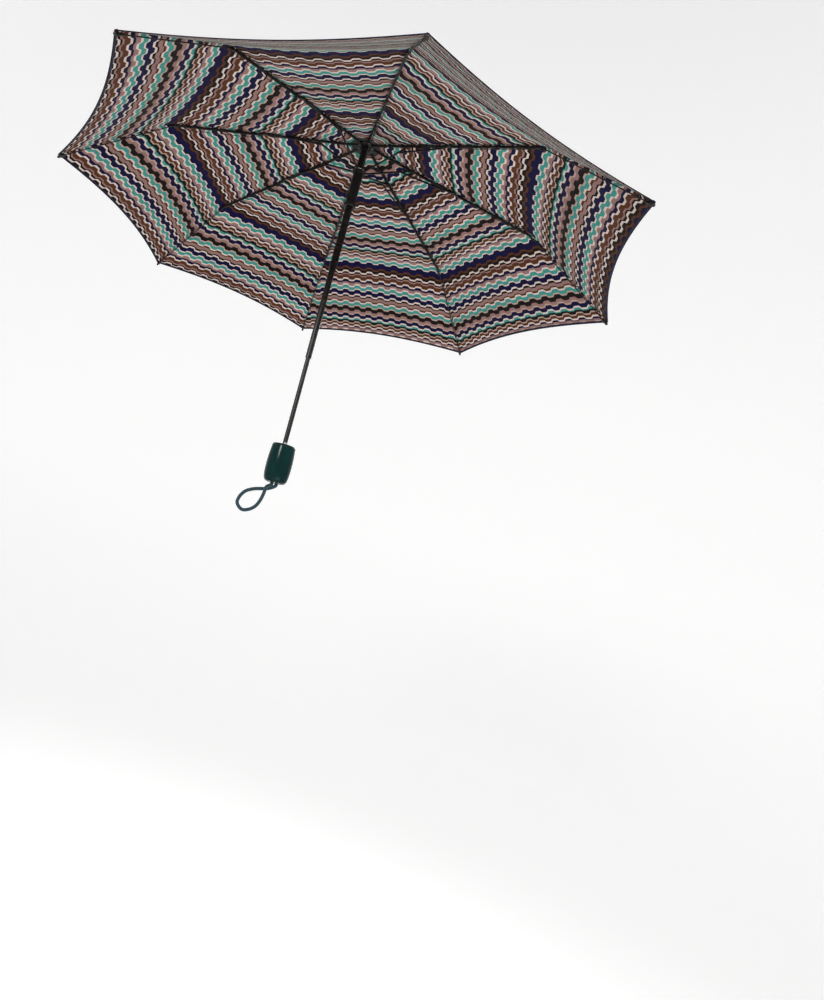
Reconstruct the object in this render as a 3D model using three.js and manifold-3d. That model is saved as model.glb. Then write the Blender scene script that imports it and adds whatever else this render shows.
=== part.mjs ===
// A three-fold pocket umbrella, open and upright, in millimetres with +Z up.
// The origin is the centre of the hand grip, and the shaft is the Z axis.
// Each rib lies in its own upright plane through the shaft, at a multiple of 45 degrees.
import * as THREE from 'three';
import { mergeVertices } from 'three/addons/utils/BufferGeometryUtils.js';
import Module from 'manifold-3d';

const wasm = await Module();
wasm.setup();

// ---- driving dimensions -------------------------------------------------------------------
const RIB_COUNT = 8;
const CROWN_Z = 574.5; // height of the crown hinges
const CROWN_R = 13.5; // radius of the crown hinges
const RUNNER_R = 10.2; // how far out the runner hinges stand
const RUNNER_DROP = 45; // runner hinges below crown hinges, umbrella open

const INNER_SLOPE = 11.7; // degrees that the two inner rib sections slope down
const OUTER_SLOPE = 33.6; // degrees that the tip section slopes down
const TOP_RIB = 160; // crown hinge to elbow
const MID_RIB = 156; // elbow to knee
const TIP_RIB = 205; // knee to the end of the tip cap
const STRETCHER_AT = 75; // stretcher pin along the top rib
const LINK_ON_STRETCHER = 16; // link pin along the stretcher
const LINK_ON_TAIL = 14.9; // link pin on the tail of the middle rib, inward of the elbow

const PIVOT_OFFSET = 1.7; // elbow above, and knee below, the middle of the rib
const RIB_HALF = 1.5; // half the width and height of a rib channel
const RIB_WALL = 0.6;
const EYE_R = 1.4; // round end of a rib, stretcher or link
const HOLE_R = 0.9;
const PIN_R = 0.55;
const WIRE_R = 0.6; // crown and runner binding wires
const TIP_WIRE_R = 0.9;

// Lanes across a rib: [from, to] along the tangent, so that pieces pass each other when folded.
const STRETCHER_LANE = [1.8, 3.4];
const TAIL_LANE = [1.8, 3.0];
const LINK_LANE = [3.7, 4.7];
const PIN_PROUD = 0.2; // a pin stands this far out of the lane that it holds
const RIVET_R = 0.8; // rivet of the link's outer end, which stops short of the tail

const UPPER_TUBE = { outer: 6.4, bore: 5.5, top: CROWN_Z + 6, bottom: CROWN_Z - 226 };
const MIDDLE_TUBE = { outer: 5.2, bore: 4.3, top: CROWN_Z - 206, bottom: CROWN_Z - 386 };
const LOWER_TUBE = { outer: 4.0, bore: 3.4, top: CROWN_Z - 366, bottom: -20 };

const GRIP_HALF = 32.5; // half the height of the handle
const BUTTON_Z = 6;
const BUTTON_FACE_Y = 23.2;
const PIN_Z = -2;

const CORD_R = 3;
const CORD_EXIT_X = 3.9;

const CANOPY_LIFT = 3.6; // fabric above the middle of the rib channels
const CANOPY_THICK = 1; // upright thickness of the fabric solid
const CANOPY_HOLE_R = 7.4;
const HEM_SCALLOP = 26; // the hem's middle curves in by this between two tips
const PANEL_SAG = 8; // a panel's middle dips below the straight line between its ribs

const ROUND = 24; // facets round a turned piece
const ARC = 3; // facets in each quarter of a small round end

// ---- materials ----------------------------------------------------------------------------
const finish = (color, roughness, metalness) =>
  new THREE.MeshStandardMaterial({ color, roughness, metalness });
const blackSteel = finish(0x1c1a1a, 0.35, 0.7);
const bareSteel = finish(0x9a9a9c, 0.3, 0.9);
const blackPlastic = finish(0x151515, 0.45, 0);
const tealPlastic = finish(0x0c3d3a, 0.2, 0);
const tealCord = finish(0x1f4652, 0.8, 0);
const printedFabric = finish(0x3c4266, 0.85, 0);

const umbrella = new THREE.Group();

// ---- shape helpers ------------------------------------------------------------------------
function toSolid(geometry) {
  const plain = geometry.clone();
  plain.deleteAttribute('normal');
  plain.deleteAttribute('uv');
  const merged = mergeVertices(plain, 1e-4);
  const vertProperties = Float32Array.from(merged.attributes.position.array);
  const triVerts = Uint32Array.from(merged.index.array);
  return new wasm.Manifold(new wasm.Mesh({ numProp: 3, vertProperties, triVerts }));
}

function toGeometry(solid) {
  const mesh = solid.getMesh();
  const geometry = new THREE.BufferGeometry();
  geometry.setAttribute('position', new THREE.BufferAttribute(mesh.vertProperties, 3));
  geometry.setIndex(new THREE.BufferAttribute(mesh.triVerts, 1));
  return geometry;
}

function join(...geometries) {
  const solids = geometries.map(toSolid);
  return toGeometry(solids.reduce((whole, piece) => whole.add(piece)));
}

function cut(body, ...tools) {
  const solids = tools.map(toSolid);
  return toGeometry(solids.reduce((whole, tool) => whole.subtract(tool), toSolid(body)));
}

// A closed outline of [radius, z] points, listed anticlockwise, turned about the Z axis.
function turned(outline, segments = ROUND) {
  const points = [...outline, outline[0]].map(([r, z]) => new THREE.Vector2(r, z));
  return new THREE.LatheGeometry(points, segments).rotateX(Math.PI / 2);
}

function tube({ outer, bore, top, bottom }) {
  return turned([[bore, bottom], [outer, bottom], [outer, top], [bore, top]], 24);
}

function box([x0, x1], [y0, y1], [z0, z1]) {
  const block = new THREE.BoxGeometry(x1 - x0, y1 - y0, z1 - z0);
  return block.translate((x0 + x1) / 2, (y0 + y1) / 2, (z0 + z1) / 2);
}

// A flat plate: its outline lies in the XZ plane and its thickness runs along Y.
function plate(shape, [y0, y1]) {
  const options = { depth: y1 - y0, bevelEnabled: false, curveSegments: ARC };
  return new THREE.ExtrudeGeometry(shape, options).rotateX(Math.PI / 2).translate(0, y1, 0);
}

// A bar with two round ends from a to b, and round holes where asked.
function strap(a, b, radius, lane, holes = []) {
  const along = Math.atan2(b[1] - a[1], b[0] - a[0]);
  const shape = new THREE.Shape();
  shape.absarc(a[0], a[1], radius, along + Math.PI / 2, along + 1.5 * Math.PI);
  shape.absarc(b[0], b[1], radius, along - Math.PI / 2, along + Math.PI / 2);
  for (const [x, z] of holes) {
    shape.holes.push(new THREE.Path().absarc(x, z, HOLE_R, 0, 2 * Math.PI));
  }
  return plate(shape, lane);
}

function pinAlongY([x, z], radius, [y0, y1], facets = 6) {
  const pin = new THREE.CylinderGeometry(radius, radius, y1 - y0, facets);
  return pin.translate(x, (y0 + y1) / 2, z);
}

// A rib channel along X: three walls, open on the underside.
function channel(x0, x1, middleZ) {
  const outer = RIB_HALF;
  const inner = RIB_HALF - RIB_WALL;
  const section = new THREE.Shape([
    new THREE.Vector2(-outer, -outer),
    new THREE.Vector2(-inner, -outer),
    new THREE.Vector2(-inner, inner),
    new THREE.Vector2(inner, inner),
    new THREE.Vector2(inner, -outer),
    new THREE.Vector2(outer, -outer),
    new THREE.Vector2(outer, outer),
    new THREE.Vector2(-outer, outer),
  ]);
  const options = { depth: x1 - x0, bevelEnabled: false };
  const toRib = new THREE.Matrix4().makeBasis(
    new THREE.Vector3(0, 1, 0),
    new THREE.Vector3(0, 0, 1),
    new THREE.Vector3(1, 0, 0),
  );
  return new THREE.ExtrudeGeometry(section, options).applyMatrix4(toRib).translate(x0, 0, middleZ);
}

// A round wire or cord along a curve, closed at both ends.
function wireAlong(curve, radius, steps, sides) {
  const section = new THREE.Shape();
  for (let side = 0; side < sides; side += 1) {
    const angle = (2 * Math.PI * side) / sides;
    const [x, y] = [radius * Math.cos(angle), radius * Math.sin(angle)];
    if (side === 0) section.moveTo(x, y);
    else section.lineTo(x, y);
  }
  return new THREE.ExtrudeGeometry(section, { steps, extrudePath: curve, bevelEnabled: false });
}

class Helix extends THREE.Curve {
  constructor(radius, length, turns) {
    super();
    Object.assign(this, { radius, length, turns });
  }

  getPoint(t, target = new THREE.Vector3()) {
    const angle = 2 * Math.PI * this.turns * t;
    const { radius, length } = this;
    return target.set(radius * Math.cos(angle), radius * Math.sin(angle), length * t);
  }
}

function add(name, geometry, material, parent = umbrella) {
  const mesh = new THREE.Mesh(geometry, material);
  mesh.name = name;
  parent.add(mesh);
  return mesh;
}

// ---- rib geometry, in the plane of one rib: [radius, z] -----------------------------------
const radians = THREE.MathUtils.degToRad;
const ahead = (slope) => [Math.cos(radians(slope)), -Math.sin(radians(slope))];
const above = (slope) => [Math.sin(radians(slope)), Math.cos(radians(slope))];
const walk = (from, direction, far) => [
  from[0] + direction[0] * far,
  from[1] + direction[1] * far,
];
const angleOf = (from, to) => Math.atan2(to[1] - from[1], to[0] - from[0]);
const gap = (from, to) => Math.hypot(to[0] - from[0], to[1] - from[1]);

const crownHinge = [CROWN_R, CROWN_Z];
const stretcherPin = walk(crownHinge, ahead(INNER_SLOPE), STRETCHER_AT);
const elbow = walk(
  walk(crownHinge, ahead(INNER_SLOPE), TOP_RIB),
  above(INNER_SLOPE),
  PIVOT_OFFSET,
);
const knee = walk(
  walk(elbow, ahead(INNER_SLOPE), MID_RIB),
  above(INNER_SLOPE),
  -2 * PIVOT_OFFSET,
);
const runnerHinge = [RUNNER_R, CROWN_Z - RUNNER_DROP];
const stretcherAngle = angleOf(stretcherPin, runnerHinge);
const stretcherLength = gap(stretcherPin, runnerHinge);
const linkPin = walk(
  stretcherPin,
  [Math.cos(stretcherAngle), Math.sin(stretcherAngle)],
  LINK_ON_STRETCHER,
);
const tailPin = walk(
  walk(elbow, ahead(INNER_SLOPE), -LINK_ON_TAIL),
  above(INNER_SLOPE),
  -PIVOT_OFFSET,
);

// ---- ribs ---------------------------------------------------------------------------------
// Every rib piece is drawn with its own pivot at the origin, X along it and Z to the fabric.
const bodyLane = [-RIB_HALF, RIB_HALF];
const pinLane = (lane) => [RIB_HALF - RIB_WALL / 2, lane[1] + PIN_PROUD];

function topRibShape() {
  const tongueHalf = 0.7; // narrow enough for the notch in the crown
  return join(
    channel(4.5, TOP_RIB - 4, 0),
    strap([0, 0], [7, 0], 1.5, [-tongueHalf, tongueHalf], [[0, 0]]),
    strap([TOP_RIB - 6, 0], [TOP_RIB, PIVOT_OFFSET], EYE_R, bodyLane),
    pinAlongY([STRETCHER_AT, 0], PIN_R, pinLane(STRETCHER_LANE)),
    pinAlongY([TOP_RIB, PIVOT_OFFSET], PIN_R, pinLane(TAIL_LANE)),
  );
}

function stretcherShape() {
  const end = [stretcherLength, 0];
  return join(
    strap([0, 0], end, EYE_R, STRETCHER_LANE, [[0, 0], end]),
    pinAlongY([LINK_ON_STRETCHER, 0], PIN_R, [3.2, LINK_LANE[1] + PIN_PROUD]),
  );
}

function linkBarShape() {
  const end = [gap(linkPin, tailPin), 0];
  return join(
    strap([0, 0], end, EYE_R, LINK_LANE, [[0, 0]]),
    pinAlongY(end, RIVET_R, [LINK_LANE[0] - PIN_PROUD, LINK_LANE[1] + PIN_PROUD]),
  );
}

function midRibShape() {
  const middleZ = -PIVOT_OFFSET;
  const tail = [-LINK_ON_TAIL, middleZ];
  const kneeAt = [MID_RIB, middleZ - PIVOT_OFFSET];
  const tailRoot = [8, middleZ];
  return join(
    channel(5, MID_RIB - 4, middleZ),
    cut(
      join(strap(tail, [0, 0], EYE_R, TAIL_LANE), strap([0, 0], tailRoot, EYE_R, TAIL_LANE)),
      pinAlongY([0, 0], HOLE_R, [TAIL_LANE[0] - 1, TAIL_LANE[1] + 1]),
    ),
    box([5, 9], [-RIB_HALF, TAIL_LANE[1] - 0.2], [middleZ - 1.2, middleZ + 1.2]),
    pinAlongY(tail, RIVET_R, [TAIL_LANE[0] - PIN_PROUD, TAIL_LANE[1] + PIN_PROUD]),
    strap([MID_RIB - 6, middleZ], kneeAt, EYE_R, bodyLane),
    pinAlongY(kneeAt, PIN_R, pinLane(TAIL_LANE)),
  );
}

function tipRibShape() {
  const middleZ = PIVOT_OFFSET;
  const wireEnd = TIP_RIB - 6;
  const wire = new THREE.CylinderGeometry(TIP_WIRE_R, TIP_WIRE_R, wireEnd - 4, 6)
    .rotateZ(Math.PI / 2)
    .translate((wireEnd + 4) / 2, 0, middleZ);
  const capOutline = [
    [0, TIP_RIB - 13],
    [1.4, TIP_RIB - 13],
    [1.8, TIP_RIB - 11],
    [1.8, TIP_RIB - 1.6],
    [1.1, TIP_RIB - 0.4],
    [0, TIP_RIB],
  ];
  const cap = turned(capOutline, 8)
    .rotateY(Math.PI / 2)
    .translate(0, 0, middleZ);
  return join(
    wire,
    cap,
    strap([0, 0], [8, middleZ], EYE_R, TAIL_LANE, [[0, 0]]),
    box([5, 9], [-0.6, TAIL_LANE[1] - 0.2], [middleZ - 0.8, middleZ + 0.8]),
  );
}

const shapes = {
  top_rib: topRibShape(),
  stretcher: stretcherShape(),
  link_bar: linkBarShape(),
  mid_rib: midRibShape(),
  tip_rib: tipRibShape(),
};
const places = {
  top_rib: [crownHinge, -radians(INNER_SLOPE)],
  stretcher: [stretcherPin, stretcherAngle],
  link_bar: [linkPin, angleOf(linkPin, tailPin)],
  mid_rib: [elbow, -radians(INNER_SLOPE)],
  tip_rib: [knee, -radians(OUTER_SLOPE)],
};

for (let rib = 0; rib < RIB_COUNT; rib += 1) {
  const plane = new THREE.Group();
  plane.rotation.z = (2 * Math.PI * rib) / RIB_COUNT;
  umbrella.add(plane);
  for (const [piece, [pivot, angle]] of Object.entries(places)) {
    const mesh = add(`${piece}_${rib}`, shapes[piece], blackSteel, plane);
    mesh.position.set(pivot[0], 0, pivot[1]);
    mesh.rotation.y = -angle;
  }
}

// ---- crown --------------------------------------------------------------------------------
function eachRib(makeTool) {
  return Array.from({ length: RIB_COUNT }, (_, rib) =>
    makeTool().rotateZ((2 * Math.PI * rib) / RIB_COUNT),
  );
}

function ring(radius, section, z) {
  return new THREE.TorusGeometry(radius, section, 5, 24).translate(0, 0, z);
}

function crownNotch() {
  const bore = UPPER_TUBE.outer + 0.35;
  const groove = 0.95; // half the height of the wire's groove
  const disc = turned([
    [bore, -9],
    [9, -9],
    [9, -2.4],
    [14.6, -2.4],
    [15.2, -1.8],
    [15.2, -groove],
    [12.4, -groove],
    [12.4, groove],
    [15.2, groove],
    [15.2, 1.8],
    [14.6, 2.4],
    [bore, 2.4],
  ]);
  return cut(disc, ...eachRib(() => box([11.5, 16], [-1, 1], [-3, 3]))).translate(0, 0, CROWN_Z);
}

function ferruleShape() {
  return turned([
    [0, -10],
    [5.2, -10],
    [5.2, 6.6],
    [11, 6.6],
    [11.2, 7.4],
    [10.6, 8.4],
    [7, 9.6],
    [6.2, 11],
    [5.8, 19],
    [4.6, 20.2],
    [0, 20.2],
  ]).translate(0, 0, CROWN_Z);
}

add('crown_notch', crownNotch(), blackPlastic);
add('crown_wire', ring(CROWN_R, WIRE_R, CROWN_Z), bareSteel);
add('ferrule', ferruleShape(), blackPlastic);

// ---- canopy -------------------------------------------------------------------------------
// The fabric over one rib, as [radius, z] points from the crown's hole to the hem.
function fabricProfile() {
  const lifted = (from, slope, far, extra) =>
    walk(walk(from, ahead(slope), far), above(slope), CANOPY_LIFT + extra);
  const start = (CANOPY_HOLE_R - CROWN_R) / Math.cos(radians(INNER_SLOPE));
  const inner = [start, 60, TOP_RIB, 250];
  const outer = [70, 135, TIP_RIB - 3];
  const middleSlope = (INNER_SLOPE + OUTER_SLOPE) / 2;
  return [
    ...inner.map((far) => lifted(crownHinge, INNER_SLOPE, far, 0)),
    lifted(knee, INNER_SLOPE, -4, PIVOT_OFFSET),
    lifted(knee, middleSlope, 0, PIVOT_OFFSET),
    lifted(knee, OUTER_SLOPE, 4, PIVOT_OFFSET),
    ...outer.map((far) => lifted(knee, OUTER_SLOPE, far, PIVOT_OFFSET)),
  ];
}

// How far along the profile each point lies, counted from the hole.
function lengthsAlong(profile) {
  const lengths = [0];
  for (let i = 1; i < profile.length; i += 1) {
    lengths.push(lengths[i - 1] + gap(profile[i - 1], profile[i]));
  }
  return lengths;
}

function pointAt(profile, lengths, far) {
  const beyond = lengths.findIndex((length) => length >= far - 1e-6);
  const i = Math.max(0, beyond - 1);
  const share = (far - lengths[i]) / (lengths[i + 1] - lengths[i]);
  const [a, b] = [profile[i], profile[i + 1]];
  return [a[0] + (b[0] - a[0]) * share, a[1] + (b[1] - a[1]) * share];
}

function canopyShape() {
  const profile = fabricProfile();
  const lengths = lengthsAlong(profile);
  const whole = lengths[lengths.length - 1];
  const columnsPerPanel = 4;
  const columns = RIB_COUNT * columnsPerPanel;
  const halfPanel = Math.PI / RIB_COUNT;
  const positions = [];
  const rows = profile.length;
  for (const lift of [0, CANOPY_THICK]) {
    for (let row = 0; row < rows; row += 1) {
      for (let column = 0; column < columns; column += 1) {
        const across = ((column % columnsPerPanel) / columnsPerPanel) * 2 - 1;
        const bow = 1 - across * across; // 0 at a rib, 1 in the middle of a panel
        const panel = Math.floor(column / columnsPerPanel);
        const share = lengths[row] / whole;
        const far = lengths[row] - HEM_SCALLOP * bow * share * share;
        const [radius, z] = pointAt(profile, lengths, far);
        const middle = (2 * panel + 1) * halfPanel;
        const out = radius * Math.cos(halfPanel);
        const side = radius * Math.sin(halfPanel) * across;
        const x = out * Math.cos(middle) - side * Math.sin(middle);
        const y = out * Math.sin(middle) + side * Math.cos(middle);
        positions.push(x, y, z - PANEL_SAG * bow * share + lift);
      }
    }
  }
  const at = (layer, row, column) => (layer * rows + row) * columns + (column % columns);
  const triangles = [];
  const quad = (a, b, c, d) => triangles.push(a, b, c, a, c, d);
  for (let column = 0; column < columns; column += 1) {
    const next = column + 1;
    for (let row = 0; row < rows - 1; row += 1) {
      quad(at(1, row, column), at(1, row + 1, column), at(1, row + 1, next), at(1, row, next));
      quad(at(0, row, column), at(0, row, next), at(0, row + 1, next), at(0, row + 1, column));
    }
    const hem = rows - 1;
    quad(at(0, hem, column), at(0, hem, next), at(1, hem, next), at(1, hem, column));
    quad(at(0, 0, column), at(1, 0, column), at(1, 0, next), at(0, 0, next));
  }
  const geometry = new THREE.BufferGeometry();
  geometry.setAttribute('position', new THREE.Float32BufferAttribute(positions, 3));
  geometry.setIndex(triangles);
  return geometry;
}

add('canopy', canopyShape(), printedFabric);

// ---- shaft and runner ---------------------------------------------------------------------
function lowerTube() {
  const pinHole = new THREE.CylinderGeometry(1.3, 1.3, 20, 12).rotateZ(Math.PI / 2);
  return cut(tube(LOWER_TUBE), pinHole.translate(0, 0, PIN_Z));
}

function runnerShape() {
  const bore = UPPER_TUBE.outer + 0.35;
  const groove = 0.9;
  const body = turned([
    [bore, -67],
    [9.8, -67],
    [10.4, -66],
    [10.4, -61.5],
    [9.8, -60.5],
    [8.6, -59.5],
    [8.6, -6],
    [9.6, -3.4],
    [11.7, -3],
    [11.7, -groove],
    [9.6, -groove],
    [9.6, groove],
    [11.7, groove],
    [11.7, 3],
    [bore, 3],
  ]);
  const [from, to] = STRETCHER_LANE;
  const slots = eachRib(() => box([8.3, 13], [from - 0.3, to + 0.3], [-7, 4]));
  return cut(body, ...slots).translate(0, 0, CROWN_Z - RUNNER_DROP);
}

const laneMiddle = (STRETCHER_LANE[0] + STRETCHER_LANE[1]) / 2;
add('upper_tube', tube(UPPER_TUBE), blackSteel);
add('middle_tube', tube(MIDDLE_TUBE), blackSteel);
add('lower_tube', lowerTube(), blackSteel);
add('runner', runnerShape(), blackPlastic);
add(
  'runner_wire',
  ring(Math.hypot(RUNNER_R, laneMiddle), WIRE_R, CROWN_Z - RUNNER_DROP),
  bareSteel,
);

const springRest = PIN_Z + 2.2;
const openingSpring = wireAlong(new Helix(2.4, 150, 10), 0.5, 70, 4);
add('opening_spring', openingSpring.translate(0, 0, springRest), bareSteel);

// ---- handle -------------------------------------------------------------------------------
const catchWay = [[-2.9, 2.9], [-16.4, -11.8]]; // hole for the catch in the cup's floor

function handleShell() {
  const wall = turned([
    [12.6, -GRIP_HALF],
    [14, -GRIP_HALF],
    [17, -31],
    [19.2, -28],
    [20.7, -22],
    [21.6, -13],
    [21.9, -3],
    [21.7, 8],
    [21.1, 18],
    [20.3, 27],
    [19.7, 31],
    [18.9, GRIP_HALF],
    [18.2, 31.8],
    [18.2, 24],
    [19.6, 12],
    [19.9, -4],
    [19.4, -16],
    [17.6, -25],
    [15, -28],
    [12.6, -28.4],
  ]);
  const window = box([-5, 5], [12, 24], [BUTTON_Z - 7, BUTTON_Z + 7]);
  return cut(wall, window);
}

function handleCup() {
  const bore = LOWER_TUBE.outer + 0.35;
  const cup = turned([
    [bore, -6],
    [7.2, -6],
    [7.2, 16.5],
    [16.6, 16.5],
    [17.8, 19],
    [17.8, 31.4],
    [16.6, 31.4],
    [16.6, 20],
    [bore, 20],
  ]);
  const pinHole = new THREE.CylinderGeometry(1.3, 1.3, 20, 12)
    .rotateZ(Math.PI / 2)
    .translate(0, 0, PIN_Z);
  return cut(cup, pinHole, box(...catchWay, [14, 22]));
}

function endCap() {
  const plug = turned([[0, -32.2], [11.4, -32.2], [12.2, -31.6], [12.2, -28.6], [0, -28.6]]);
  const holes = [-CORD_EXIT_X, CORD_EXIT_X].map((x) =>
    new THREE.CylinderGeometry(CORD_R + 0.4, CORD_R + 0.4, 8, 16)
      .rotateX(Math.PI / 2)
      .translate(x, 0, -30),
  );
  return cut(plug, ...holes);
}

function pushButton() {
  const half = { x: 4.6, z: 6.6 };
  const corner = 2;
  const face = new THREE.Shape();
  face.absarc(half.x - corner, half.z - corner, corner, 0, Math.PI / 2);
  face.absarc(corner - half.x, half.z - corner, corner, Math.PI / 2, Math.PI);
  face.absarc(corner - half.x, corner - half.z, corner, Math.PI, 1.5 * Math.PI);
  face.absarc(half.x - corner, corner - half.z, corner, 1.5 * Math.PI, 2 * Math.PI);
  return plate(face, [15.6, BUTTON_FACE_Y]).translate(0, 0, BUTTON_Z);
}

// The catch is a slide with a window round the boss. Pressing the button moves its hook,
// on the far side, away from the runner's collar.
function catchPlate() {
  const outline = new THREE.Shape(
    [[-9.2, -8], [-3, -14], [3, -14], [9.2, -8], [9.2, 9], [4, 15.3], [-4, 15.3], [-9.2, 9]].map(
      ([x, y]) => new THREE.Vector2(x, y),
    ),
  );
  const slide = new THREE.ExtrudeGeometry(outline, { depth: 1.6, bevelEnabled: false });
  const floorZ = 9.4;
  const window = box([-7.6, 7.6], [-7.6, 9.7], [floorZ - 1, floorZ + 3]);
  return join(
    cut(slide.translate(0, 0, floorZ), window),
    box([-2.5, 2.5], [-14, -12.3], [floorZ + 0.4, 36]),
    box([-2.5, 2.5], [-12.6, -9.3], [34, 36]),
  );
}

function handlePin() {
  return new THREE.CylinderGeometry(1, 1, 13.6, 12).rotateZ(Math.PI / 2).translate(0, 0, PIN_Z);
}

function buttonSpring() {
  return wireAlong(new Helix(2.1, 4.2, 3.5), 0.35, 28, 4)
    .rotateX(-Math.PI / 2)
    .translate(0, 10.6, BUTTON_Z - 0.6);
}

add('handle_shell', handleShell(), tealPlastic);
add('handle_cup', handleCup(), blackPlastic);
add('handle_end_cap', endCap(), tealPlastic);
add('handle_pin', handlePin(), bareSteel);
add('push_button', pushButton(), blackPlastic);
add('catch_plate', catchPlate(), bareSteel);
add('button_spring', buttonSpring(), bareSteel);

// ---- wrist loop ---------------------------------------------------------------------------
// Points are [along, across, y]: along leans from the grip's underside, across is square to it.
function wristLoop() {
  const lean = radians(41);
  const halfLoop = [
    [15, 1.5, 3.6],
    [24, -4.5, 3],
    [35, -11, 1.2],
    [48, -15, 0],
    [61, -13, 0],
    [70, -6.5, 0],
  ];
  const place = ([along, across, y]) =>
    new THREE.Vector3(
      -along * Math.sin(lean) + across * Math.cos(lean),
      y,
      -GRIP_HALF - along * Math.cos(lean) - across * Math.sin(lean),
    );
  const straight = [-29.2, -32.5, -36.5];
  const outward = straight.map((z) => new THREE.Vector3(CORD_EXIT_X, 0, z));
  const inward = straight.map((z) => new THREE.Vector3(-CORD_EXIT_X, 0, z)).reverse();
  const back = halfLoop.map(([along, across, y]) => [along, -across, -y]).reverse();
  const points = [...outward, ...halfLoop.map(place), ...back.map(place), ...inward];
  return wireAlong(new THREE.CatmullRomCurve3(points, false, 'centripetal'), CORD_R, 36, 8);
}

add('wrist_loop', wristLoop(), tealCord);

export default umbrella;
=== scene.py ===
"""Looks for a three-fold pocket umbrella: printed canopy, steel frame, handle and wrist loop.

Metres, +Z up, origin in the middle of the hand grip, shaft on the Z axis, rib 0 towards +X.
"""
import math

import bmesh
import bpy
from mathutils import Matrix, Vector


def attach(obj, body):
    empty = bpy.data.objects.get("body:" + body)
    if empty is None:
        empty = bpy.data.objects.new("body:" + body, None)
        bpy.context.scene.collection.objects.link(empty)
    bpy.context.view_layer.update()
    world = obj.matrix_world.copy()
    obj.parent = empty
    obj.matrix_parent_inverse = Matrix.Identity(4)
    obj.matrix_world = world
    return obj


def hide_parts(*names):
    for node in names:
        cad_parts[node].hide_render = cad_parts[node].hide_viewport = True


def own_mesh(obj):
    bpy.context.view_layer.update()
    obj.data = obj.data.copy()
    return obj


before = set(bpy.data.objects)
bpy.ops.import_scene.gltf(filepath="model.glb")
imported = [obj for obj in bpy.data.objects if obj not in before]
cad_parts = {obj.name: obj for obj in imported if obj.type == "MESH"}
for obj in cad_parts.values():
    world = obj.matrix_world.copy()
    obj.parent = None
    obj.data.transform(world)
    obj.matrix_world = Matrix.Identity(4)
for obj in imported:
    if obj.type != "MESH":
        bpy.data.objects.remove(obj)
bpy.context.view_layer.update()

MM = 0.001
RIBS = 8
HALF_PANEL = math.pi / RIBS

# Sizes that the CAD part has too, in millimetres.
CROWN_Z, CROWN_R = 574.5, 13.5
INNER_SLOPE, OUTER_SLOPE = math.radians(11.7), math.radians(33.6)
TOP_RIB, MID_RIB, TIP_RIB = 160, 156, 205
PIVOT_OFFSET = 1.7
STRETCHER_AT = 75
CANOPY_HOLE_R = 7.4
HEM_SCALLOP, PANEL_SAG = 26, 8
GRIP_HALF = 32.5
CORD_R, CORD_EXIT_X = 3, 3.9

# Fabric only: heights above the middle of the ribs, thicknesses and the widths of its parts.
CLOTH_LIFT, CLOTH_THICK = 4.3, 0.4
PATCH_LIFT, PATCH_THICK, PATCH_R = 3.85, 0.5, 27
CAP_LIFT, CAP_R = 4.75, 19
KNEE_ROUND, KNEE_STEPS = 14, 12
HEM_DEEP, HEM_THICK = 3.6, 1.1

# Braid of the wrist loop: strands each way, and turns of a strand in a millimetre.
BRAID_STRANDS, BRAID_PITCH = 8, 0.34


# ---- camera, light and stage ---------------------------------------------------------------
CAMERA_AT = (-0.0744, -1.1782, -0.1639)
CAMERA_TURN, CAMERA_RISE, CAMERA_TIP = 3.75, 4.28, 15.25  # degrees
LENS, SENSOR_WIDTH = 25.54, 36
SHIFT_X, SHIFT_Y = 0.143, 0.008
LIGHT_SPREAD = 110  # degrees
WORLD_STRENGTH, FLOOR_GLOW = 0.5, 0.18
# The bowl: radius of its flat floor and of its wall, and heights of the floor and the rim.
FLOOR_R, WALL_R, FLOOR_Z, RIM_Z = 4.4, 6.0, -1.15, 7.5
BEND_STEPS, BOWL_SIDES = 12, 64


def place_camera():
    """Low in front of the umbrella, looking up under the canopy, with the camera tipped over."""
    turn, rise, tip = (math.radians(a) for a in (CAMERA_TURN, CAMERA_RISE, CAMERA_TIP))
    flat = math.cos(rise)
    ahead = Vector((math.sin(turn) * flat, math.cos(turn) * flat, math.sin(rise)))
    level = ahead.cross(Vector((0, 0, 1))).normalized()
    upright = level.cross(ahead)
    right = level * math.cos(tip) + upright * math.sin(tip)
    up = right.cross(ahead)
    data = bpy.data.cameras.new("camera")
    data.lens, data.sensor_width = LENS, SENSOR_WIDTH
    data.shift_x, data.shift_y = SHIFT_X, SHIFT_Y
    data.clip_start, data.clip_end = 0.01, 60
    camera = bpy.data.objects.new("camera", data)
    turned = Matrix((right, up, -ahead)).transposed().to_4x4()
    camera.matrix_world = Matrix.Translation(CAMERA_AT) @ turned
    bpy.context.scene.collection.objects.link(camera)
    bpy.context.scene.camera = camera


def area_light(name, where, towards, size, watts, colour=(1, 1, 1)):
    """A round light that the camera doesn't see."""
    data = bpy.data.lights.new(name, "AREA")
    data.shape, data.size, data.energy, data.color = "DISK", size, watts, colour
    data.spread = math.radians(LIGHT_SPREAD)
    light = bpy.data.objects.new(name, data)
    light.location = where
    light.rotation_euler = (Vector(towards) - Vector(where)).to_track_quat("-Z", "Y").to_euler()
    light.visible_camera = False
    bpy.context.scene.collection.objects.link(light)


def put(name, mesh, materials=()):
    """A new object in the scene, with the materials added to its mesh."""
    obj = bpy.data.objects.new(name, mesh)
    bpy.context.scene.collection.objects.link(obj)
    for material in materials:
        mesh.materials.append(material)
    return obj


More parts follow.
